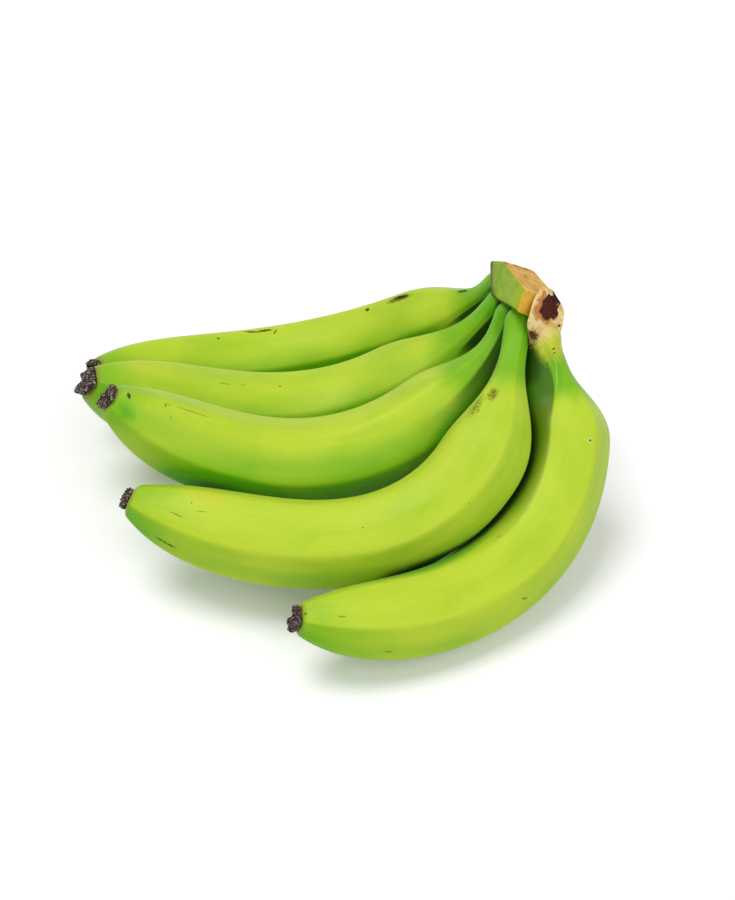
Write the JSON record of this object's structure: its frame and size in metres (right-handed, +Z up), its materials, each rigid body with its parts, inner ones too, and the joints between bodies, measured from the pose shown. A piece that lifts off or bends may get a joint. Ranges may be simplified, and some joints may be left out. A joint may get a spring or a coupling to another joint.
{
  "type": "hand of green bananas",
  "caption": "Hand of curved unripe green bananas joined at a cut crown, with dried flower ends.",
  "frame": {"origin": "on the surface that the hand lies on, under the middle of its bounding box", "axes": "+Z up; +X towards the crown, with the tips towards -X; +Y towards the first banana at the back"},
  "size_m": [0.2206, 0.2052, 0.1046],
  "materials": {
    "peel": "waxy, satin green banana peel",
    "crown": "dry cut banana stalk, tan and cream, green skin on one side",
    "dried_flower": "rough dried flower, near black"
  },
  "bodies": {
    "root": {"crown": "crown", "banana_1": "peel", "banana_2": "peel", "banana_3": "peel", "banana_4": "peel", "banana_5": "peel", "flower_remnant_1": "dried_flower", "flower_remnant_2": "dried_flower", "flower_remnant_3": "dried_flower", "flower_remnant_4": "dried_flower", "flower_remnant_5": "dried_flower"}
  },
  "joints": []
}
